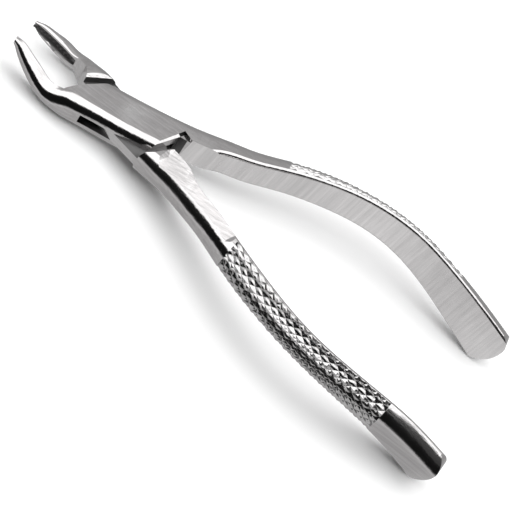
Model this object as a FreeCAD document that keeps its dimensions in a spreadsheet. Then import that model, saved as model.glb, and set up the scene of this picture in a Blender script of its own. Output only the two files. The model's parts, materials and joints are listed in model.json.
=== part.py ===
import FreeCAD, Part
import math
import os

import Sketcher

# Dental extraction forceps with a box joint, in millimetres.
#
# Each half is drawn in the closed position, with the pivot axis on Z, the joint's middle
# plane at z = 0, the handles towards +X and the beaks towards -X.  The half that carries
# the box has its handle on +Y and its beak on -Y.  Outside the joint, the half with the
# tongue is its mirror image.  The Placements then open the halves and tip them, so that the
# joint and the ends of the handles rest on one level, with the origin where the pivot axis
# leaves the joint's flat underside.

V = FreeCAD.Vector
REACH = 20.0  # how far a cutting outline runs past the metal that it trims

doc = FreeCAD.newDocument("extraction_forceps")
sheet = doc.addObject("Spreadsheet::Sheet", "Sizes")

SIZES = {
    # joint
    "joint_height": 9.3,
    "slot_height": 3.0,
    "tongue_height": 2.9,
    "front_bevel": 0.9,
    "rear_bevel": 0.35,
    "pin_radius": 2.0,
    "pin_running_gap": 0.05,
    # how the forceps lies
    "rest_opening": 11.0,
    "rest_tilt": 5.38,
}

# Corners in plan, named for the feature that they bound.
PLAN = {
    # inner face of a beak, whose y is a distance from the middle plane
    "face_tip": (-39.5, -0.2),
    "face_middle": (-30.0, 2.6),
    "face_root": (-21.5, 4.6),
    # box half: crotch at the root of the beak, then the two end edges of the box
    "crotch": (-19.2, -5.0),
    "box_front_near": (-15.6, -1.0),
    "box_front_far": (-3.4, 11.0),
    "box_rear_near": (6.2, -11.1),
    "box_rear_far": (14.8, 2.6),
    # inner face at the root of the box half's handle
    "box_root_middle": (21.0, 3.1),
    "box_root_end": (27.5, 4.5),
    # tongue half: crotch, then the shoulders that face the box
    "tongue_crotch": (-18.6, 3.2),
    "shoulder_front_near": (-16.2, -0.1),
    "shoulder_front_far": (-6.5, 10.6),
    "shoulder_rear_near": (7.0, -13.0),
    "shoulder_rear_far": (14.8, -0.1),
    "tongue_root_middle": (21.0, -1.8),
    "tongue_root_end": (27.5, -4.5),
    # corners taken off the tongue, and the ends of the slot that it works in
    "tongue_end": (14.4, 0.5),
    "tongue_wall": (7.5, 6.35),
    "tongue_clear": (3.5, 9.74),
    "slot_end": (15.0, 1.0),
    "slot_wall": (11.5, 8.0),
}

# Sections of a half, from the tip of its beak to the end of its handle.  x is the station,
# y the edge on the -Y side, z the middle height, then the height along Z, the thickness
# along Y, the corner radii on the -Y and +Y sides, and how far the top leans towards +Y.
STATION_KEYS = ("x", "y", "z", "high", "thick", "low_corner", "high_corner", "lean")
STATIONS = [
    ("tip", -37.3, -2.35, 5.6, 1.9, 3.35, 0.9, 0.5, 0.0),
    ("point", -35.5, -3.6, 4.87, 3.5, 4.4, 1.7, 0.8, -6.0),
    ("blade", -32.0, -5.6, 2.9, 5.0, 5.9, 2.4, 1.2, -12.0),
    ("flank", -30.0, -6.5, 1.9, 5.3, 6.5, 2.55, 1.4, -12.0),
    ("middle", -28.0, -7.3, 0.95, 5.6, 7.0, 2.7, 1.6, -12.0),
    ("waist", -25.8, -7.9, -0.05, 5.5, 7.6, 2.65, 1.8, -12.0),
    ("neck", -23.5, -8.35, -0.95, 5.4, 8.15, 2.6, 2.0, -12.0),
    ("base", -19.7, -9.0, -0.75, 7.4, 10.4, 3.6, 2.6, -6.0),
    ("collar", -16.6, -8.95, 0.1, 9.1, 12.35, 3.5, 3.0, 0.0),
    ("front", -13.0, -8.4, 0.0, 9.3, 14.0, 3.3, 3.0, 0.0),
    ("box", -7.0, -7.75, 0.0, 9.3, 14.35, 2.9, 3.0, 0.0),
    ("pivot", 0.0, -7.2, 0.0, 9.3, 14.5, 2.8, 3.0, 0.0),
    ("back", 7.0, -6.3, 0.0, 9.3, 14.5, 2.8, 3.0, 0.0),
    ("rear", 12.0, -5.4, 0.2, 9.3, 14.2, 2.6, 3.0, 0.0),
    ("root", 20.0, -0.4, 1.0, 9.2, 10.4, 1.2, 3.4, 0.0),
    ("shank", 28.0, 4.8, 1.5, 9.1, 7.3, 1.1, 3.7, 2.0),
    ("throat", 35.0, 6.9, 1.8, 9.2, 7.0, 1.0, 4.0, 4.0),
    ("grip", 46.0, 11.1, 2.3, 9.7, 6.9, 1.0, 4.3, 4.5),
    ("swell", 57.0, 14.9, 2.5, 10.2, 6.6, 0.85, 4.6, 5.0),
    ("bow", 68.0, 17.6, 2.3, 10.6, 6.0, 0.85, 4.7, 6.0),
    ("crest", 79.4, 18.7, 1.6, 11.0, 5.7, 0.85, 4.7, 7.0),
    ("turn", 90.5, 17.9, 0.1, 12.0, 5.6, 0.85, 4.7, 8.0),
    ("palm", 101.6, 15.7, -2.5, 13.2, 5.7, 0.85, 4.7, 9.0),
    ("heel", 112.5, 13.3, -6.0, 14.7, 5.8, 0.85, 4.7, 8.5),
    ("end", 124.0, 11.3, -10.6, 15.9, 5.9, 0.85, 4.7, 8.0),
    ("past", 129.0, 10.4, -12.6, 16.4, 5.9, 0.85, 4.7, 8.0),
]

# The tongue half is slimmer round the joint and its beak.  These stations replace the ones
# above, and are mirrored with the rest.
TONGUE_STATIONS = {
    "tip": (-36.6, -2.1, 5.2, 1.8, 3.0, 0.8, 0.5, 0.0),
    "point": (-34.8, -3.1, 4.7, 3.3, 4.0, 1.5, 0.8, 0.0),
    "blade": (-31.6, -4.9, 3.2, 4.7, 5.3, 2.1, 1.2, 0.0),
    "flank": (-29.8, -5.85, 2.4, 4.95, 5.9, 2.3, 1.4, 0.0),
    "middle": (-28.0, -6.75, 1.6, 5.2, 6.45, 2.4, 1.6, 0.0),
    "waist": (-25.8, -7.45, 0.7, 5.1, 7.15, 2.35, 1.8, 0.0),
    "neck": (-23.5, -8.0, -0.2, 5.0, 7.8, 2.3, 1.9, 0.0),
    "base": (-19.7, -7.95, 0.2, 5.8, 9.35, 2.7, 2.4, 0.0),
    "collar": (-16.6, -7.4, 0.5, 7.9, 10.8, 3.6, 3.0, 0.0),
    "front": (-13.0, -7.9, 0.0, 9.3, 13.5, 4.5, 3.0, 0.0),
    "box": (-7.0, -6.7, 0.0, 9.3, 13.3, 4.0, 3.0, 0.0),
    "pivot": (0.0, -7.3, 0.0, 9.3, 14.6, 3.0, 3.0, 0.0),
    "back": (7.0, -6.4, 0.0, 9.3, 14.6, 3.0, 3.0, 0.0),
    "rear": (12.0, -5.4, 0.2, 9.3, 14.2, 2.6, 3.4, 0.0),
    "root": (20.0, -0.4, 1.1, 9.2, 10.3, 1.2, 4.1, 3.0),
    "shank": (28.0, 4.8, 1.8, 9.1, 7.3, 1.1, 4.3, 6.0),
    "throat": (35.0, 6.9, 2.0, 9.2, 7.0, 1.0, 4.3, 6.5),
}

# Rounded end of a handle, in side view: points of its two arcs, as x and z.
HANDLE_END = {
    "end_top": (125.2, -3.4),
    "end_shoulder": (127.6, -5.6),
    "end_face": (127.9, -8.9),
    "end_heel": (125.2, -14.6),
    "end_bottom": (119.2, -17.3),
}

# Hollow along the inner face of a beak: station, distance of its axis from the middle
# plane of the forceps, height of the axis and radius.
HOLLOW_KEYS = ("x", "y", "z", "radius")
HOLLOWS = [
    ("hollow_start", -22.2, 3.5, -0.2, 1.4),
    ("hollow_run", -26.0, 2.7, 0.9, 1.9),
    ("hollow_blade", -32.0, 1.15, 3.3, 1.8),
    ("hollow_end", -38.5, -0.7, 6.1, 1.05),
]


def fill_sheet():
    rows = list(SIZES.items())
    for name, (x, y) in {**PLAN, **HANDLE_END}.items():
        rows += [(f"{name}_x", x), (f"{name}_y", y)]
    tongue_stations = [(f"tongue_{name}", *row) for name, row in TONGUE_STATIONS.items()]
    for keys, table in ((STATION_KEYS, STATIONS + tongue_stations), (HOLLOW_KEYS, HOLLOWS)):
        for name, *values in table:
            rows += [(f"{name}_{key}", value) for key, value in zip(keys, values)]
    for row, (alias, value) in enumerate(rows, start=1):
        sheet.set(f"A{row}", alias)
        sheet.set(f"B{row}", str(value))
        sheet.setAlias(f"B{row}", alias)
    doc.recompute()


def size(alias):
    return float(sheet.get(alias))


def plane(body, role):
    return next(item for item in body.Origin.OriginFeatures if item.Role == role)


def new_sketch(body, name, role):
    sketch = body.newObject("Sketcher::SketchObject", f"{body.Name}_{name}")
    sketch.AttachmentSupport = (plane(body, role), [""])
    sketch.MapMode = "FlatFace"
    return sketch


def hold(sketch, constraint, formula):
    """Add a dimension and tie it to the sheet."""
    number = sketch.addConstraint(constraint)
    sketch.setExpression(f"Constraints[{number}]", f"({formula}) * 1mm")


def new_body(name):
    body = doc.addObject("PartDesign::Body", name)
    body.Label = name
    return body


def rounded_section(body, name, side):
    """Rounded rectangle across the half at one station.  side is -1 for the mirror image."""
    sketch = new_sketch(body, name, "YZ_Plane")
    lean = FreeCAD.Rotation(V(0, 0, 1), -size(f"{name}_lean"))
    flip = FreeCAD.Rotation(V(0, 1, 0), 0 if side > 0 else 180)
    sketch.AttachmentOffset = FreeCAD.Placement(V(), flip * lean)
    sketch.setExpression(".AttachmentOffset.Base.x", f"{side} * Sizes.{name}_y * 1mm")
    sketch.setExpression(".AttachmentOffset.Base.y", f"Sizes.{name}_z * 1mm")
    sketch.setExpression(".AttachmentOffset.Base.z", f"Sizes.{name}_x * 1mm")
    thick = size(f"{name}_thick")
    half = size(f"{name}_high") / 2
    low = size(f"{name}_low_corner")
    high = size(f"{name}_high_corner")
    sides = [
        (V(low, -half), V(thick - high, -half)),
        (V(thick, high - half), V(thick, half - high)),
        (V(thick - high, half), V(low, half)),
        (V(0, half - low), V(0, low - half)),
    ]
    corners = [
        (V(thick - high, high - half), high),
        (V(thick - high, half - high), high),
        (V(low, half - low), low),
        (V(low, low - half), low),
    ]
    for quarter, ((start, end), (centre, radius)) in enumerate(zip(sides, corners)):
        sketch.addGeometry(Part.LineSegment(start, end))
        circle = Part.Circle(centre, V(0, 0, 1), radius)
        turn = math.pi / 2 * (quarter - 1)
        sketch.addGeometry(Part.ArcOfCircle(circle, turn, turn + math.pi / 2))
    for index in range(8):
        sketch.addConstraint(Sketcher.Constraint("Tangent", index, 2, (index + 1) % 8, 1))
    for line, direction in zip((0, 2, 4, 6), ("Horizontal", "Vertical") * 2):
        sketch.addConstraint(Sketcher.Constraint(direction, line))
    sketch.addConstraint(Sketcher.Constraint("PointOnObject", 6, 1, -2))
    hold(sketch, Sketcher.Constraint("DistanceX", -1, 1, 2, 1, thick), f"Sizes.{name}_thick")
    hold(sketch, Sketcher.Constraint("DistanceY", 0, 1, -1, 1, half), f"Sizes.{name}_high / 2")
    hold(sketch, Sketcher.Constraint("DistanceY", -1, 1, 4, 1, half), f"Sizes.{name}_high / 2")
    for index in (1, 3):
        hold(sketch, Sketcher.Constraint("Radius", index, high), f"Sizes.{name}_high_corner")
    for index in (5, 7):
        hold(sketch, Sketcher.Constraint("Radius", index, low), f"Sizes.{name}_low_corner")
    return sketch


def outline(body, name, corners, side=1, role="XY_Plane"):
    """Closed outline through named corners or fixed (x, y) pairs.  The corner named after
    "arc" is the middle of an arc, and side mirrors the outline in the X axis."""
    sketch = new_sketch(body, name, role)
    marks = [index for index, corner in enumerate(corners) if corner == "arc"]
    corners = [corner for corner in corners if corner != "arc"]
    middles = {index - count for count, index in enumerate(marks)}

    def point(corner):
        if isinstance(corner, str):
            return V(size(f"{corner}_x"), side * size(f"{corner}_y"))
        return V(corner[0], side * corner[1])

    ends = [index for index in range(len(corners)) if index not in middles]
    pieces = []
    for index, follow in zip(ends, ends[1:] + ends[:1]):
        start, end = point(corners[index]), point(corners[follow])
        if index + 1 in middles:
            middle = point(corners[index + 1])
            if (middle - start).cross(end - middle).z > 0:
                pieces.append((sketch.addGeometry(Part.Arc(start, middle, end)), 1, 2))
            else:
                pieces.append((sketch.addGeometry(Part.Arc(end, middle, start)), 2, 1))
        else:
            pieces.append((sketch.addGeometry(Part.LineSegment(start, end)), 1, 2))
    for here, after in zip(pieces, pieces[1:] + pieces[:1]):
        sketch.addConstraint(Sketcher.Constraint("Coincident", here[0], here[2], after[0], after[1]))
    for (number, start, _), index in zip(pieces, ends):
        corner = corners[index]
        spot = point(corner)
        across = Sketcher.Constraint("DistanceX", -1, 1, number, start, spot.x)
        along = Sketcher.Constraint("DistanceY", -1, 1, number, start, spot.y)
        if isinstance(corner, str):
            hold(sketch, across, f"Sizes.{corner}_x")
            hold(sketch, along, f"{side} * Sizes.{corner}_y")
        else:
            sketch.addConstraint(across)
            sketch.addConstraint(along)
    return sketch


def cut(body, name, sketch, deep=None, way="both"):
    """Pocket through everything, or through deep millimetres about the sketch's plane."""
    volume = body.Shape.Volume
    pocket = body.newObject("PartDesign::Pocket", f"{body.Name}_{name}")
    pocket.Profile = sketch
    if way == "both":
        pocket.SideType = "Symmetric"
        if deep:
            pocket.setExpression("Length", f"{deep} * 1mm")
        else:
            pocket.Length = 4 * REACH
    else:
        pocket.Type = "ThroughAll"
        pocket.Reversed = way == "up"
    doc.recompute()
    report(pocket)
    if not pocket.Shape.Volume < volume - 1:
        raise RuntimeError(f"{pocket.Name} cut nothing")
    return pocket


def report(feature):
    if "Invalid" in feature.State or "Error" in feature.State:
        raise RuntimeError(f"{feature.Name}: {feature.State}")


def envelope(body, side):
    """The whole half as one smooth bar, before its joint and inner faces are cut."""
    names = [station[0] for station in STATIONS]
    if side < 0:
        names = [f"tongue_{name}" if name in TONGUE_STATIONS else name for name in names]
    sections = [rounded_section(body, name, side) for name in names]
    doc.recompute()
    loft = body.newObject("PartDesign::AdditiveLoft", f"{body.Name}_bar")
    loft.Profile = sections[0]
    loft.Sections = sections[1:]
    doc.recompute()
    report(loft)


def hollow_face(body, side):
    """Long hollow in the inner face of the beak, open at the tip."""
    rings = []
    for name, *_ in HOLLOWS:
        ring = new_sketch(body, name, "YZ_Plane")
        ring.setExpression(".AttachmentOffset.Base.z", f"Sizes.{name}_x * 1mm")
        middle = V(-side * size(f"{name}_y"), size(f"{name}_z"))
        ring.addGeometry(Part.Circle(middle, V(0, 0, 1), size(f"{name}_radius")))
        hold(ring, Sketcher.Constraint("DistanceX", -1, 1, 0, 3, middle.x), f"{-side} * Sizes.{name}_y")
        hold(ring, Sketcher.Constraint("DistanceY", -1, 1, 0, 3, middle.y), f"Sizes.{name}_z")
        hold(ring, Sketcher.Constraint("Radius", 0, size(f"{name}_radius")), f"Sizes.{name}_radius")
        rings.append(ring)
    doc.recompute()
    loft = body.newObject("PartDesign::SubtractiveLoft", f"{body.Name}_hollow")
    loft.Profile = rings[0]
    loft.Sections = rings[1:]
    doc.recompute()
    report(loft)


def bevel(body, name, start, end, wide):
    """Sloping cut along the upper edge between two named corners, with the metal on its left."""
    start = V(size(f"{start}_x"), size(f"{start}_y"))
    end = V(size(f"{end}_x"), size(f"{end}_y"))
    along = (end - start).normalize()
    inward = V(-along.y, along.x)
    width = size(wide)
    quads = []
    for level, shift, rise in (("low", 0, f"-Sizes.{wide}"), ("high", width + 1, "1")):
        near = start - along * 2 + inward * shift
        far = end + along * 2 + inward * shift
        corners = [near, near - inward * (3 + shift), far - inward * (3 + shift), far]
        quad = outline(body, f"{name}_{level}", [(corner.x, corner.y) for corner in corners])
        height = f"(Sizes.joint_height / 2 + {rise}) * 1mm"
        quad.setExpression(".AttachmentOffset.Base.z", height)
        quads.append(quad)
    doc.recompute()
    loft = body.newObject("PartDesign::SubtractiveLoft", f"{body.Name}_{name}")
    loft.Profile = quads[0]
    loft.Sections = quads[1:]
    doc.recompute()
    report(loft)


def pin_hole(body, name, formula):
    sketch = new_sketch(body, name, "XY_Plane")
    sketch.addGeometry(Part.Circle(V(), V(0, 0, 1), size("pin_radius")))
    sketch.addConstraint(Sketcher.Constraint("Coincident", 0, 3, -1, 1))
    hold(sketch, Sketcher.Constraint("Radius", 0, size("pin_radius")), formula)
    return sketch


def round_end(body):
    """Trim the end of the handle to an arc, in side view."""
    past = (size("past_x") + REACH, -REACH - 20)
    sketch = outline(
        body,
        "end_outline",
        ["end_top", "arc", "end_shoulder", "end_face", "arc", "end_heel", "end_bottom",
         (size("end_bottom_x"), past[1]), past, (past[0], REACH), (size("end_top_x"), REACH)],
        role="XZ_Plane",
    )
    cut(body, "rounded_end", sketch)


def build_box_half():
    body = new_body("box_half")
    envelope(body, 1)
    front = outline(
        body,
        "front_outline",
        [(size("face_tip_x"), -size("face_tip_y")), "arc",
         (size("face_middle_x"), -size("face_middle_y")),
         (size("face_root_x"), -size("face_root_y")),
         "crotch", "box_front_near", "box_front_far",
         (size("box_front_far_x"), REACH), (size("face_tip_x"), REACH)],
    )
    cut(body, "front", front)
    rear = outline(
        body,
        "rear_outline",
        ["box_rear_near", "box_rear_far", "arc", "box_root_middle", "box_root_end",
         (size("box_root_end_x"), -REACH), (size("box_rear_near_x"), -REACH)],
    )
    cut(body, "rear", rear)
    end_x, end_y = size("slot_end_x"), size("slot_end_y")
    wall_x, wall_y = size("slot_wall_x"), size("slot_wall_y")
    slot = outline(
        body,
        "slot_outline",
        [(-wall_x, -REACH), (-wall_x, -wall_y), (-end_x, -end_y), (-end_x - 2, -end_y),
         (-end_x - 2, REACH), (wall_x, REACH), "slot_wall", "slot_end",
         (end_x + 1, end_y), (end_x + 1, -REACH)],
    )
    cut(body, "slot", slot, "Sizes.slot_height")
    bevel(body, "rear_bevel", "box_rear_near", "box_rear_far", "rear_bevel")
    cut(body, "pin_hole", pin_hole(body, "hole", "Sizes.pin_radius"))
    hollow_face(body, 1)
    round_end(body)
    return body


def build_tongue_half():
    body = new_body("tongue_half")
    envelope(body, -1)
    end_x, end_y = size("tongue_end_x"), size("tongue_end_y")
    wall_x, wall_y = size("tongue_wall_x"), size("tongue_wall_y")
    clear_x, clear_y = size("tongue_clear_x"), size("tongue_clear_y")
    front = outline(
        body,
        "front_outline",
        ["face_tip", "arc", "face_middle", "face_root", "tongue_crotch", "shoulder_front_near",
         (-end_x, -end_y), (-wall_x, -wall_y), (-clear_x, -clear_y),
         (-clear_x, -REACH), (size("face_tip_x"), -REACH)],
    )
    cut(body, "front", front)
    rear = outline(
        body,
        "rear_outline",
        ["tongue_root_end", "arc", "tongue_root_middle", "shoulder_rear_far", "tongue_end",
         "tongue_wall", "tongue_clear", (clear_x, REACH), (size("tongue_root_end_x"), REACH)],
    )
    cut(body, "rear", rear)
    for way, level in (("up", 1), ("down", -1)):
        relief = outline(
            body,
            f"relief_{way}",
            ["shoulder_front_near", "shoulder_front_far", (size("shoulder_rear_far_x"), REACH),
             "shoulder_rear_far", "shoulder_rear_near", (size("shoulder_front_near_x"), -REACH)],
        )
        relief.setExpression(".AttachmentOffset.Base.z", f"{level} * Sizes.tongue_height / 2 * 1mm")
        cut(body, f"shoulder_{way}", relief, way=way)
    bevel(body, "front_bevel", "shoulder_front_near", "shoulder_front_far", "front_bevel")
    bevel(body, "rear_bevel", "shoulder_rear_far", "shoulder_rear_near", "rear_bevel")
    cut(body, "pin_hole", pin_hole(body, "hole", "Sizes.pin_radius + Sizes.pin_running_gap"))
    hollow_face(body, -1)
    round_end(body)
    return body


def build_pin():
    body = new_body("joint_pin")
    pad = body.newObject("PartDesign::Pad", "joint_pin_shank")
    pad.Profile = pin_hole(body, "section", "Sizes.pin_radius")
    pad.SideType = "Symmetric"
    pad.setExpression("Length", "Sizes.joint_height * 1mm")
    doc.recompute()
    return body


def placement(turn):
    """Turn a half about the pivot, then tip the forceps about the joint's underside."""
    tip = FreeCAD.Rotation(V(0, 1, 0), -size("rest_tilt"))
    lift = FreeCAD.Placement(V(0, 0, size("joint_height") / 2), FreeCAD.Rotation(V(0, 0, 1), turn))
    return FreeCAD.Placement(V(), tip) * lift


fill_sheet()
half_opening = size("rest_opening") / 2
bodies = {
    build_box_half(): half_opening,
    build_tongue_half(): -half_opening,
    build_pin(): half_opening,
}
for body, turn in bodies.items():
    body.Placement = placement(turn)
doc.recompute()

for item in doc.Objects:
    report(item)
os.makedirs("parts", exist_ok=True)
for body in bodies:
    if body.Shape.isNull() or not body.Shape.isValid() or len(body.Shape.Solids) != 1:
        raise RuntimeError(f"{body.Label} is not one valid solid")
for body in bodies:
    body.Shape.exportStep(f"parts/{body.Label}.step")
    print(body.Label, round(body.Shape.Volume), "mm3")
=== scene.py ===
import json
from math import cos, floor, pi, radians, sin

import bmesh
import bpy
from mathutils import Matrix, Vector
from mathutils.bvhtree import BVHTree
from mathutils.geometry import barycentric_transform


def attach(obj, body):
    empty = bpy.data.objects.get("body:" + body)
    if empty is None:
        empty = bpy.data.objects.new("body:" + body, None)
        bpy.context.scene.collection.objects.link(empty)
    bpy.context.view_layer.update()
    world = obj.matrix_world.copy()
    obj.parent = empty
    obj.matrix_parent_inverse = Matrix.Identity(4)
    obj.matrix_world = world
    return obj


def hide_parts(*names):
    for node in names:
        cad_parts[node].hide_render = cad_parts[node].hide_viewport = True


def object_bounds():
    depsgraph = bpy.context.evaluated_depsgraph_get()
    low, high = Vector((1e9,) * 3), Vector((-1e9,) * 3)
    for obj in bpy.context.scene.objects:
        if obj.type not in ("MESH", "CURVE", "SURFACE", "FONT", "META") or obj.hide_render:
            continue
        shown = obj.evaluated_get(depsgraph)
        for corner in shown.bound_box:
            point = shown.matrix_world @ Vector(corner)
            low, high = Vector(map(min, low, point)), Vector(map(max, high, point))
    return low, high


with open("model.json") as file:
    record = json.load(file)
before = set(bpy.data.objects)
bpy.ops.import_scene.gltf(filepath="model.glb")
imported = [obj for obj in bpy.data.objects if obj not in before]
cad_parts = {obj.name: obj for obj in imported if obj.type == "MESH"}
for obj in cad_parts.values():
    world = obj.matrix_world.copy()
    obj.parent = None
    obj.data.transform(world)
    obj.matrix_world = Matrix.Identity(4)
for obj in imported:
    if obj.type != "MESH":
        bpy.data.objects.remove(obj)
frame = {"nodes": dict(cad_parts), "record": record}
cad_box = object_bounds()
joint = frame["record"]["behaviour"]["joints"][0]

MM = 0.001
OPENING = radians(5.5)  # each half is turned this far from the closed position
KNURL = (45.6, 105.4)  # where the knurling starts and stops along a handle, mm from the pivot
KNURL_PITCH = 3.3  # length of one diamond, mm
KNURL_ACROSS = 7  # diamonds round the outer face
KNURL_DEPTH = 0.5
KNURL_RIM = 0.7  # plain strip left along both edges of the knurling
HOLLOW = (-35.6, -23.6)  # serrated part of the hollow in a beak
HOLLOW_ACROSS = 2  # diamonds from edge to edge of the hollow
HOLLOW_REACH = 0.9  # half the width of the serrated strip
HOLLOW_PITCH = 1.3
HOLLOW_DEPTH = 0.16
BEAK_BEVEL = radians(68)  # how far the facet beside a hollow faces up
SHANK = (14, 45)  # part of a handle whose top slopes to the outer side
SHANK_SLOPE = radians(7)
SHANK_STEPS = 16
GRID = 4  # steps of a cutter's grid in one diamond
SINK = 0.03  # every cut goes at least this far under the line that it follows, mm
OUTSIDE = 60  # rays at the outer face of a handle start this far from the pivot, mm
INSIDE = 20.01  # rays at its inner face start this far in from the outer face, mm
BETWEEN = 15  # rays at the inner face of a beak start this far across, mm
ABOVE = 30  # rays down at the top of a half start at this height, mm
TOUCHING = 4e-6  # a point nearer than this to the CAD mesh lies on it, metres
COLOR_A, COLOR_B, COLOR_OUT = 6, 7, 2  # colour sockets of a Mix node
WORN = (0.92, 0.91, 0.91)
# colour of the painted shade in grooves and creases
GROOVE_SHADE_COLOR = (0.04, 0.04, 0.04)


# Materials


def new_material(name, color, roughness):
    """Plain metal, before its own nodes are added."""
    mat = bpy.data.materials.new(name)
    mat.use_nodes = True
    shader = mat.node_tree.nodes["Principled BSDF"]
    shader.inputs["Metallic"].default_value = 1
    shader.inputs["Base Color"].default_value = (*color, 1)
    shader.inputs["Roughness"].default_value = roughness
    return mat


def node(mat, kind, **inputs):
    """New node with some of its inputs set."""
    made = mat.node_tree.nodes.new(kind)
    for name, value in inputs.items():
        made.inputs[name.replace("_", " ")].default_value = value
    return made


def link(mat, source, output, target, name):
    """Join an output of one node to an input of another, each by name or number."""
    mat.node_tree.links.new(source.outputs[output], target.inputs[name])


def streaks(mat, stretch, detail):
    """Noise drawn out along one axis of the part, like the lines left by a belt."""
    place = node(mat, "ShaderNodeTexCoord")
    scale = node(mat, "ShaderNodeMapping", Scale=stretch)
    noise = node(mat, "ShaderNodeTexNoise", Scale=1.0, Detail=detail, Roughness=0.6)
    link(mat, place, "Object", scale, "Vector")
    link(mat, scale, "Vector", noise, "Vector")
    return noise


def remap(mat, source, output, low, high):
    """Spread the middle of a noise's range over low to high."""
    ranged = node(mat, "ShaderNodeMapRange", From_Min=0.3, From_Max=0.7, To_Min=low, To_Max=high)
    link(mat, source, output, ranged, "Value")
    return ranged


def mix(mat, factor, low, high):
    """Socket of a colour between two others, each of them a colour or a socket."""
    made = mat.node_tree.nodes.new("ShaderNodeMix")
    made.data_type = "RGBA"
    link(mat, factor, "Result", made, "Factor")
    for index, value in ((COLOR_A, low), (COLOR_B, high)):
        if isinstance(value, tuple):
            made.inputs[index].default_value = (*value, 1)
        else:
            mat.node_tree.links.new(value, made.inputs[index])
    return made.outputs[COLOR_OUT]


def steel(name, color, roughness, stretch, bump, wear, groove_shade=0.0):
    """Bare steel: streaks vary its shine, height and tint, its edges are rubbed brighter, and
    painted shade darkens its grooves."""
    mat = new_material(name, color, sum(roughness) / 2)
    shader = mat.node_tree.nodes["Principled BSDF"]
    fine = streaks(mat, stretch, 4.0)
    cloud = streaks(mat, (60, 60, 60), 3.0)
    shine = remap(mat, cloud, 0, *roughness)
    link(mat, shine, "Result", shader, "Roughness")

    height = node(mat, "ShaderNodeBump", Strength=bump, Distance=0.0001)
    link(mat, fine, 0, height, "Height")
    link(mat, height, "Normal", shader, "Normal")

    darker = tuple(value * 0.86 for value in color)
    lighter = tuple(min(1, value * 1.06) for value in color)
    tint = mix(mat, remap(mat, fine, 0, 0.0, 1.0), darker, lighter)

    shape = node(mat, "ShaderNodeNewGeometry")
    rub = node(mat, "ShaderNodeMapRange", From_Min=0.52, From_Max=0.60, To_Min=0.0, To_Max=wear)
    # painted shade: faces in concave spots (low pointiness) are darkened towards the groove shade colour
    low = node(mat, "ShaderNodeMapRange", From_Min=0.47, From_Max=0.40, To_Min=0.0, To_Max=groove_shade)
    link(mat, shape, "Pointiness", rub, "Value")
    link(mat, shape, "Pointiness", low, "Value")
    rubbed = mix(mat, rub, tint, WORN)
    mat.node_tree.links.new(mix(mat, low, rubbed, GROOVE_SHADE_COLOR), shader.inputs["Base Color"])
    return mat


# Shape


def joint_matrix(side):
    """From a half's own axes, in metres with the pivot at the origin, to the row frame."""
    up = -Vector(joint["axis"]).normalized()
    across = Vector((0, 1, 0))
    along = across.cross(up).normalized()
    turned = Matrix((along, across, up)).transposed() @ Matrix.Rotation(side * OPENING, 3, "Z")
    matrix = turned.to_4x4()
    matrix.translation = Vector(joint["pos_m"])
    return matrix


def half_copy(name, piece, body, side):
    """A copy of one half's mesh, to be worked on, that takes the place of its node."""
    source = frame["nodes"][piece]
    mesh = source.data.copy()
    mesh.transform(source.matrix_world)
    mesh.materials.clear()
    made = bpy.data.objects.new(name, mesh)
    bpy.context.scene.collection.objects.link(made)
    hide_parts(piece)
    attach(made, body)
    return made


def surface(made, side):
    """Ray-casting tree of a half in its own axes, in millimetres, with its handle on +Y."""
    back = joint_matrix(side).inverted()
    mesh = made.data
    points = []
    for vertex in mesh.vertices:
        x, y, z = back @ vertex.co
        points.append(Vector((x, y * side, z)) / MM)
    faces = [tuple(face.vertices) for face in mesh.polygons]
    if side < 0:
        faces = [face[::-1] for face in faces]
    return BVHTree.FromPolygons(points, faces)


def outer_line(tree, x, count, rim):
    """Points and outward directions evenly spaced round the outer face of a handle."""
    starts = [Vector((x, OUTSIDE, z / 4)) for z in range(-100, 60)]
    hits = [tree.ray_cast(start, Vector((0, -1, 0)))[0] for start in starts]
    hits = [hit for hit in hits if hit]
    middle = (hits[0].z + hits[-1].z) / 2
    outer = tree.ray_cast(Vector((x, OUTSIDE, middle)), Vector((0, -1, 0)))[0].y
    inner = tree.ray_cast(Vector((x, outer - INSIDE, middle)), Vector((0, 1, 0)))[0].y
    origin = Vector((x, inner + 0.3 * (outer - inner), middle))
    line = []
    for k in range(-110, 111):
        angle = radians(k)
        place, normal, *_ = tree.ray_cast(origin, Vector((0, cos(angle), sin(angle))))
        if place and normal.y > -0.6:
            line.append(place)
    return spaced(line, count, rim)


def spaced(line, count, rim):
    """Even steps along a polyline in a YZ plane, leaving a rim free at both ends."""
    run = [0.0]
    for here, after in zip(line, line[1:]):
        run.append(run[-1] + (after - here).length)
    steps = [rim + (run[-1] - 2 * rim) * k / count for k in range(count + 1)]
    made, index = [], 0
    for step in steps:
        while index < len(run) - 2 and run[index + 1] < step:
            index += 1
        gap = run[index + 1] - run[index]
        part = (step - run[index]) / gap if gap else 0
        place = line[index].lerp(line[index + 1], part)
        low, high = max(0, index - 3), min(len(line) - 1, index + 4)
        slope = (line[high] - line[low]).normalized()
        made.append((place, Vector((0, slope.z, -slope.y))))
    return made


def hollow_line(tree, x, count, reach):
    """Points across the hollow of a beak at one station, with directions out of the metal."""
    samples = []
    for k in range(-40, 60):
        hit = tree.ray_cast(Vector((x, BETWEEN, k * 0.2)), Vector((0, -1, 0)))[0]
        if hit:
            samples.append(hit)
    face = max(hit.y for hit in samples)
    deep = [hit for hit in samples if hit.y < face - 0.35]
    middle = sum(hit.z for hit in deep) / max(1, len(deep))
    made = []
    for k in range(count + 1):
        z = middle + reach * (2 * k / count - 1)
        hit = tree.ray_cast(Vector((x, BETWEEN, z)), Vector((0, -1, 0)))[0]
        made.append((hit, Vector((0, 1, 0))))
    return made


def groove(i, j):
    """Depth at a grid point of the diamond lattice: 1 in a groove, 0 on a peak."""
    rise = min(abs(value / GRID - round(value / GRID)) for value in (i + j, i - j)) * 2
    return (1 - rise) ** 1.3


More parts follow.
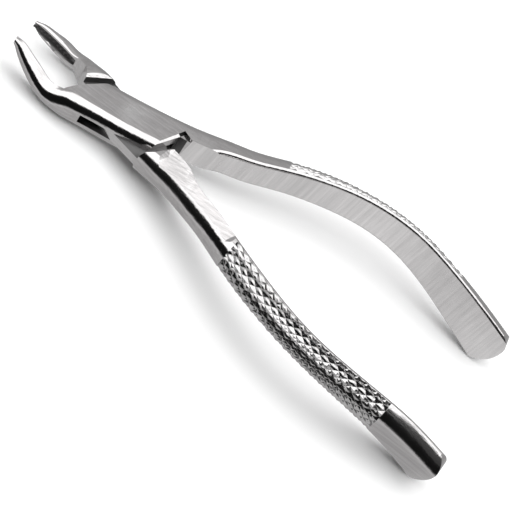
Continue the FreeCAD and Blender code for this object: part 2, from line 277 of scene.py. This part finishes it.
def cutter(lines, side, depth, proud):
    """Closed solid that cuts a diamond pattern into the surface, or a smooth face at depth 0."""
    matrix = joint_matrix(side)
    mesh = bmesh.new()

    def vertex(point):
        return mesh.verts.new(matrix @ (Vector((point.x, point.y * side, point.z)) * MM))

    rows, columns = len(lines), len(lines[0])
    inner = [
        [vertex(place - out * (SINK + depth * groove(i, j))) for j, (place, out) in enumerate(line)]
        for i, line in enumerate(lines)
    ]
    outer = [[vertex(place + out * proud) for place, out in line] for line in lines]
    for i in range(rows - 1):
        for j in range(columns - 1):
            for skin in (inner, outer):
                a, b = skin[i][j], skin[i + 1][j]
                c, d = skin[i + 1][j + 1], skin[i][j + 1]
                if (i - j) % 2 == 0:
                    mesh.faces.new((a, b, c))
                    mesh.faces.new((a, c, d))
                else:
                    mesh.faces.new((a, b, d))
                    mesh.faces.new((b, c, d))
    border = [(i, 0) for i in range(rows)]
    border += [(rows - 1, j) for j in range(1, columns)]
    border += [(i, columns - 1) for i in range(rows - 2, -1, -1)]
    border += [(0, j) for j in range(columns - 2, 0, -1)]
    for (i, j), (m, n) in zip(border, border[1:] + border[:1]):
        mesh.faces.new((inner[i][j], inner[m][n], outer[m][n], outer[i][j]))
    bmesh.ops.triangulate(mesh, faces=[face for face in mesh.faces if len(face.verts) > 3])
    bmesh.ops.recalc_face_normals(mesh, faces=mesh.faces)
    data = bpy.data.meshes.new("cutter")
    mesh.to_mesh(data)
    mesh.free()
    made = bpy.data.objects.new("cutter", data)
    bpy.context.scene.collection.objects.link(made)
    return made


def carve(made, tool):
    """Cut a tool out of an object, and remove the tool."""
    change = made.modifiers.new("carve", "BOOLEAN")
    change.object = tool
    change.operation = "DIFFERENCE"
    change.solver = "EXACT"
    graph = bpy.context.evaluated_depsgraph_get()
    data = bpy.data.meshes.new_from_object(made.evaluated_get(graph))
    made.modifiers.clear()
    made.data = data
    bpy.data.objects.remove(tool)


def stations(span, pitch):
    """Places along a half, a grid step apart, that fit whole diamonds into a span."""
    count = round((span[1] - span[0]) / pitch) * GRID
    step = (span[1] - span[0]) / count
    return [span[0] + step * i for i in range(count + 1)]


def knurl(made, tree, side):
    """Diamonds round the outer face of the handle."""
    across = KNURL_ACROSS * GRID
    lines = [outer_line(tree, x, across, KNURL_RIM) for x in stations(KNURL, KNURL_PITCH)]
    carve(made, cutter(lines, side, KNURL_DEPTH, 0.6))


def serrate(made, tree, side):
    """Fine diamonds in the hollow of the beak."""
    across = HOLLOW_ACROSS * GRID
    lines = [hollow_line(tree, x, across, HOLLOW_REACH) for x in stations(HOLLOW, HOLLOW_PITCH)]
    carve(made, cutter(lines, side, HOLLOW_DEPTH, 0.5))


def bevel_beak(made, land, side, wide):
    """Sloping facet along the upper edge of a beak's inner face, narrower at both ends."""
    edge = [land[k] for k in range(-75, -43) if k in land]
    past_tip = edge[0] + (edge[0] - edge[1]) * 3
    edge.insert(0, past_tip)
    out = Vector((0, cos(BEAK_BEVEL), sin(BEAK_BEVEL)))
    down = Vector((0, sin(BEAK_BEVEL), -cos(BEAK_BEVEL)))
    lines = []
    for corner in edge:
        from_tip = max(0.4, 0.4 + (corner.x + 37) / 8)
        from_root = 0.3 + (-21.5 - corner.x) / 10
        size = wide * min(1, from_tip, from_root)
        middle = corner - out * (size - SINK)
        lines.append([(middle + down * size * step, out) for step in (-4, -1.5, 1.5, 4)])
    carve(made, cutter(lines, side, 0, 1.5))


def slope_shank(made, tree, side):
    """Top of the handle, from the box to the knurling, falling gently to its outer side.

    At both ends the cut turns almost level and rises out of the metal."""
    lines = []
    for k in range(SHANK_STEPS + 1):
        x = SHANK[0] + (SHANK[1] - SHANK[0]) * k / SHANK_STEPS
        at_end = k in (0, SHANK_STEPS)
        starts = [Vector((x, y / 20, ABOVE)) for y in range(-200, 400)]
        hits = [tree.ray_cast(start, Vector((0, 0, -1)))[0] for start in starts]
        hits = [hit for hit in hits if hit]
        crest = max(hit.z for hit in hits)
        inner_edge = next(hit for hit in hits if hit.z > crest - 0.06)
        slope = SHANK_SLOPE * (0.3 if at_end else 1)
        out = Vector((0, sin(slope), cos(slope)))
        fall = Vector((0, cos(slope), -sin(slope)))
        start = inner_edge + out * (0.18 if at_end else -0.12)
        lines.append([(start + fall * step, out) for step in (-3, 3, 6, 12)])
    carve(made, cutter(lines, side, 0, 2.5))


def keep_normals(made, source):
    """Shade the untouched surface as smoothly as in the CAD mesh, and the cut faces flat."""
    old = source.data
    old.calc_loop_triangles()
    corners = [vertex.co for vertex in old.vertices]
    triangles = [tuple(triangle.vertices) for triangle in old.loop_triangles]
    loops = [tuple(triangle.loops) for triangle in old.loop_triangles]
    normals = [corner.vector.copy() for corner in old.corner_normals]
    tree = BVHTree.FromPolygons(corners, triangles)
    mesh = made.data
    shaded = [None] * len(mesh.loops)
    for face in mesh.polygons:
        face.use_smooth = True
        untouched = tree.find_nearest(face.center)[3] < TOUCHING
        for index in face.loop_indices:
            spot = mesh.vertices[mesh.loops[index].vertex_index].co.lerp(face.center, 0.02)
            place, _, hit, distance = tree.find_nearest(spot)
            normal = face.normal
            if untouched and distance < TOUCHING:
                a, b, c = (corners[vertex] for vertex in triangles[hit])
                smooth = barycentric_transform(place, a, b, c, *(normals[loop] for loop in loops[hit]))
                if smooth.dot(normal) > 0.6:
                    normal = smooth.normalized()
            shaded[index] = normal
    mesh.normals_split_custom_set(shaded)


def land_line(tree):
    """Upper corner of the flat land beside the hollow, for each half millimetre along a beak."""
    corners = {}
    for k in range(-76, -40):
        starts = [Vector((k / 2, BETWEEN, z / 4)) for z in range(-24, 36)]
        hits = [tree.ray_cast(start, Vector((0, -1, 0)))[0] for start in starts]
        levels = [hit.y for hit in hits if hit]
        if levels:
            above = Vector((k / 2, max(levels) - 0.05, ABOVE))
            top = tree.ray_cast(above, Vector((0, 0, -1)))[0].z
            corners[k] = Vector((k / 2, max(levels), top))
    return corners


def finish_faces(made, side, materials, land):
    """Give each face its finish or painted shade, by where it is and which way it faces."""
    mesh = made.data
    mesh.materials.clear()
    for material in materials.values():
        mesh.materials.append(material)
    order = {name: index for index, name in enumerate(materials)}
    # Places below are in the half's own axes, in millimetres, with its handle on +Y.
    back = joint_matrix(side).inverted()
    turn = back.to_3x3()
    for face in mesh.polygons:
        x, y, z = (back @ face.center) / MM
        normal = turn @ face.normal
        y, facing = y * side, normal.y * side
        corner = land.get(floor(x * 2))
        inner_face = x > 18 and facing < -0.85
        gripped = KNURL[0] - 0.1 < x < KNURL[1] + 0.1 and facing > -0.7
        slot_wall = abs(x) < 16 and abs(z) < 1.75 and abs(normal.z) > 0.9
        beside_box_end = side > 0 and 14 < x < 17.5 and facing < -0.3
        across_joint = abs(x) < 17 and abs(normal.z) < 0.3 and abs(normal.x) > 0.5
        in_hollow = corner and facing > 0.1 and y < corner.y - 0.12 and z < corner.z - 0.75
        if inner_face:
            kind = "satin"
        elif gripped:
            kind = "knurled"
        # painted shade: faces in the slot, beside the box end and across the joint get near-black steel
        elif slot_wall or beside_box_end or (across_joint and normal.x * side < 0.5):
            kind = "painted_shade"
        elif in_hollow:
            kind = "hollow"
        else:
            kind = "polished"
        face.material_index = order[kind]


def build_half(name, piece, body, side, beak_bevel, materials):
    """One half with everything that is cut into it; side is 1 with its handle on +Y, else -1."""
    source = frame["nodes"][piece]
    made = half_copy(name, piece, body, side)
    tree = surface(made, side)
    land = land_line(tree)
    knurl(made, tree, side)
    serrate(made, tree, side)
    bevel_beak(made, land, side, beak_bevel)
    if side < 0:
        slope_shank(made, tree, side)
    finish_faces(made, side, materials, land)
    keep_normals(made, source)


# Picture


def add_camera():
    """Camera that looks at a target from an angle and distance, turned by its roll."""
    target = Vector((0.05023, -0.00950, 0.008))
    azimuth, elevation, roll, distance = radians(-9.147), radians(48.149), radians(47.100), 0.5015
    forward = Vector((-sin(azimuth) * cos(elevation), cos(azimuth) * cos(elevation), -sin(elevation)))
    level = Vector((cos(azimuth), sin(azimuth), 0))
    down = forward.cross(level)
    right = cos(roll) * level - sin(roll) * down
    up = right.cross(forward)
    data = bpy.data.cameras.new("camera")
    data.sensor_width = 36
    data.lens = 128.22
    data.clip_start = 0.02
    data.clip_end = 20
    made = bpy.data.objects.new("camera", data)
    bpy.context.scene.collection.objects.link(made)
    axes = Matrix((right, up, -forward)).transposed().to_4x4()
    axes.translation = target - distance * forward
    made.matrix_world = axes
    bpy.context.scene.camera = made


def matte(name, brightness):
    """Grey paint with no shine."""
    mat = bpy.data.materials.new(name)
    mat.use_nodes = True
    shader = mat.node_tree.nodes["Principled BSDF"]
    shader.inputs["Base Color"].default_value = (brightness, brightness, brightness, 1)
    shader.inputs["Roughness"].default_value = 1
    shader.inputs["Specular IOR Level"].default_value = 0
    return mat


def add_floor():
    """Pale floor at the lowest point of the object, not reflected in the steel."""
    bpy.ops.mesh.primitive_plane_add(size=6, location=(0, 0, cad_box[0].z))
    made = bpy.context.object
    made.name = "floor"
    made.data.materials.append(matte("floor", 0.9))
    made.visible_glossy = False


# Brightness of the studio round the X axis: degrees above the horizon on the -Y side, over
# the top and down behind, with negative angles below the horizon.
STUDIO = [
    (-180, 0.50), (-60, 0.68), (-47, 0.72), (-36, 0.88), (-27, 0.88), (-19, 0.08), (-12, 0.012),
    (54, 0.012), (62, 2.4), (116, 2.4), (123, 1.7), (128, 0.78), (133, 0.66), (180, 0.50),
]


def ramp(tree, low, high, stops):
    """Input and output of nodes that turn a value from low to high into the stops' brightness."""
    ranged = tree.nodes.new("ShaderNodeMapRange")
    ranged.inputs["From Min"].default_value = low
    ranged.inputs["From Max"].default_value = high
    made = tree.nodes.new("ShaderNodeValToRGB")
    tree.links.new(ranged.outputs[0], made.inputs[0])
    places = [(at - stops[0][0]) / (stops[-1][0] - stops[0][0]) for at, _ in stops]
    elements = made.color_ramp.elements
    elements[0].position, elements[1].position = 0, 1
    elements[0].color = (*[stops[0][1]] * 3, 1)
    elements[1].color = (*[stops[-1][1]] * 3, 1)
    for place, (_, value) in list(zip(places, stops))[1:-1]:
        elements.new(place).color = (value, value, value, 1)
    return ranged.inputs["Value"], made.outputs[0]


def calculate(tree, operation, *values):
    """Output of a Math node whose inputs are numbers or sockets."""
    made = tree.nodes.new("ShaderNodeMath")
    made.operation = operation
    for socket, value in zip(made.inputs, values):
        if isinstance(value, (int, float)):
            socket.default_value = value
        else:
            tree.links.new(value, socket)
    return made.outputs[0]


def add_world():
    """Studio whose brightness changes only with the angle round the X axis."""
    world = bpy.data.worlds.new("studio")
    bpy.context.scene.world = world
    world.use_nodes = True
    tree = world.node_tree
    tree.nodes.clear()
    place = tree.nodes.new("ShaderNodeTexCoord")
    parts = tree.nodes.new("ShaderNodeSeparateXYZ")
    tree.links.new(place.outputs["Generated"], parts.inputs[0])
    _, y, z = parts.outputs
    angle = calculate(tree, "ARCTAN2", z, calculate(tree, "MULTIPLY", y, -1))
    socket, studio = ramp(tree, -pi, pi, STUDIO)
    tree.links.new(angle, socket)
    back = tree.nodes.new("ShaderNodeBackground")
    out = tree.nodes.new("ShaderNodeOutputWorld")
    tree.links.new(studio, back.inputs["Strength"])
    tree.links.new(back.outputs[0], out.inputs[0])


def add_key():
    """Large soft light above and behind, which throws the shadow towards the camera."""
    data = bpy.data.lights.new("key", "AREA")
    data.energy = 5.5
    data.size = 1.2
    made = bpy.data.objects.new("key", data)
    bpy.context.scene.collection.objects.link(made)
    made.location = (0.2, 0.6, 0.9)
    aim = Vector((0.05, 0, 0)) - made.location
    made.rotation_euler = aim.to_track_quat("-Z", "Y").to_euler()
    made.visible_glossy = False


def add_flag():
    """Black card beside the ends of the handles, seen only as a reflection in the steel."""
    bpy.ops.mesh.primitive_plane_add(size=0.13, location=(0.25, -0.065, 0.135))
    made = bpy.context.object
    made.name = "flag"
    aim = Vector((0.12, -0.02, 0)) - made.location
    made.rotation_euler = aim.to_track_quat("Z", "Y").to_euler()
    made.data.materials.append(matte("flag", 0.04))
    made.visible_camera = False
    made.visible_diffuse = False
    made.visible_shadow = False


materials = {
    "polished": steel("polished_steel", (0.60, 0.585, 0.585), (0.09, 0.20), (25, 1100, 1100), 0.35, 0.3),
    "satin": steel("satin_steel", (0.93, 0.91, 0.91), (0.20, 0.30), (900, 40, 40), 0.3, 0.2),
    # the last argument of the knurled steel sets how strongly its grooves get painted shade
    "knurled": steel("knurled_steel", (0.60, 0.59, 0.59), (0.14, 0.24), (300, 300, 300), 0.2, 0.6, 0.8),
    "hollow": steel("hollow_steel", (0.22, 0.215, 0.215), (0.3, 0.45), (500, 500, 500), 0.3, 0.4),
    # painted shade: near-black steel that stands for the shade in the slot and across the joint
    "painted_shade": steel("painted_shade_steel", (0.015, 0.015, 0.015), (0.5, 0.65), (400, 400, 400), 0.2, 0.2),
}
build_half("box_half_finished", "box_half", "box_side", 1, 0.22, materials)
build_half("tongue_half_finished", "tongue_half", "tongue_side", -1, 0.26, materials)
pin = frame["nodes"]["joint_pin"]
pin.data.materials.clear()
pin.data.materials.append(steel("pin_steel", (0.56, 0.55, 0.55), (0.12, 0.25), (500, 500, 500), 0.2, 0.3))

add_camera()
add_floor()
add_world()
add_key()
add_flag()
bpy.context.scene.view_settings.view_transform = "Standard"
